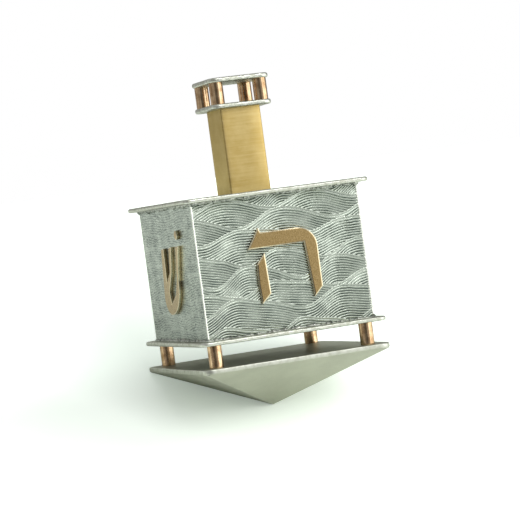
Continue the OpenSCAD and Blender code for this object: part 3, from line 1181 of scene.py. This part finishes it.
def paper(colours):
    """Matt white card that glows for the camera, more behind the top as painted light: it keeps
    the shadow in front, the rest is white.
    """
    material = bpy.data.materials.new("White Card")
    material.use_nodes = True
    tree = material.node_tree
    tree.nodes.clear()
    rays = add(tree, "ShaderNodeLightPath").outputs
    place = add(tree, "ShaderNodeTexCoord").outputs["Object"]
    depth = add(tree, "ShaderNodeSeparateXYZ", (place,)).outputs["Y"]
    # Painted light: the card's glow rises behind the tip and whitens the shadow there
    near, far = CARD_PAINTED_GLOW
    glow = add(tree, RANGE, {
        "Value": depth, "From Min": near, "From Max": far, "To Min": 0.25, "To Max": 0.52,
    }, interpolation_type="SMOOTHSTEP")
    mirrored = 0.04
    share = 0.0
    for kind, part in (("Is Camera Ray", glow), ("Is Glossy Ray", mirrored),
                       ("Is Transmission Ray", mirrored)):
        share = add(tree, MATH, (rays[kind], part, share), operation="MULTIPLY_ADD")
    matt = add(tree, "ShaderNodeBsdfDiffuse", {"Color": colours.floor})
    white = add(tree, "ShaderNodeEmission", {"Color": colours.shade, "Strength": share})
    surface = add(tree, "ShaderNodeAddShader", (matt, white))
    add(tree, "ShaderNodeOutputMaterial", {"Surface": surface})
    return material


def facing(place, aim):
    """The turn and place of a camera or a softbox that looks at a point."""
    turn = (aim - place).to_track_quat("-Z", "Y").to_matrix().to_4x4()
    return Matrix.Translation(place) @ turn


class OBJECT_OT_dreidel_stage(bpy.types.Operator):
    """Set the camera, the light and the floor"""

    bl_idname = "object.dreidel_stage"
    bl_label = "Stage"

    def execute(self, context):
        scene = context.scene
        view = scene.dreidel_view
        scene.view_settings.view_transform = "Standard"

        camera = bpy.data.objects.new("Camera", bpy.data.cameras.new("Camera"))
        scene.collection.objects.link(camera)
        camera.data.sensor_width = 36
        camera.data.lens = view.lens
        camera.data.clip_start, camera.data.clip_end = 0.01, 20
        camera.matrix_world = facing(view.eye, view.aim) @ Matrix.Rotation(view.roll, 4, "Z")
        scene.camera = camera

        # Two softboxes light the floor and cast the shadow; the metals mirror the key and the tent
        scene.world = tent(view)
        for name, width, spot, mirrored in SOFTBOXES:
            lamp = bpy.data.lights.new(f"{name.title()} Softbox", "AREA")
            lamp.size = width
            lamp.energy = getattr(view, name)
            softbox = bpy.data.objects.new(lamp.name, lamp)
            scene.collection.objects.link(softbox)
            softbox.visible_glossy = mirrored
            softbox.matrix_world = facing(Vector(spot), SOFTBOX_AIM)

        mesh = bpy.data.meshes.new("Floor")
        ends = ((-CARD, -CARD), (CARD, -CARD), (CARD, CARD_BEHIND), (-CARD, CARD_BEHIND))
        mesh.from_pydata([(x, y, CARD_LEVEL) for x, y in ends], [], [(0, 1, 2, 3)])
        mesh.materials.append(paper(scene.dreidel_colours))
        floor = bpy.data.objects.new("Floor", mesh)
        scene.collection.objects.link(floor)
        return {"FINISHED"}


OPERATORS = (
    OBJECT_OT_dreidel_plates,
    OBJECT_OT_dreidel_point,
    OBJECT_OT_dreidel_walls,
    OBJECT_OT_dreidel_posts,
    OBJECT_OT_dreidel_handle,
    OBJECT_OT_dreidel_letters,
    OBJECT_OT_dreidel_solder,
    OBJECT_OT_dreidel_stage,
)


class VIEW3D_PT_dreidel(bpy.types.Panel):
    """Lists the steps that make the top, and its sizes and colours"""

    bl_label = "Dreidel"
    bl_idname = "VIEW3D_PT_dreidel"
    bl_space_type = "VIEW_3D"
    bl_region_type = "UI"
    bl_category = "Dreidel"

    def draw(self, context):
        for step in OPERATORS:
            self.layout.operator(step.bl_idname)
        scene = context.scene
        for group in (scene.dreidel_sizes, scene.dreidel_colours, scene.dreidel_view):
            box = self.layout.box()
            for key in group.__annotations__:
                box.prop(group, key)


GROUPS = {
    "dreidel_sizes": DreidelSizes,
    "dreidel_colours": DreidelColours,
    "dreidel_view": DreidelView,
}


def register():
    for kind in (*GROUPS.values(), *OPERATORS, VIEW3D_PT_dreidel):
        bpy.utils.register_class(kind)
    for key, kind in GROUPS.items():
        setattr(bpy.types.Scene, key, PointerProperty(type=kind))


def unregister():
    for key in GROUPS:
        delattr(bpy.types.Scene, key)
    for kind in (VIEW3D_PT_dreidel, *reversed(OPERATORS), *GROUPS.values()):
        bpy.utils.unregister_class(kind)


def main():
    register()
    bpy.ops.object.dreidel_plates()
    bpy.ops.object.dreidel_point()
    bpy.ops.object.dreidel_walls()
    bpy.ops.object.dreidel_posts()
    bpy.ops.object.dreidel_handle()
    bpy.ops.object.dreidel_letters()
    bpy.ops.object.dreidel_solder()
    bpy.ops.object.dreidel_stage()


if __name__ == "__main__":
    main()
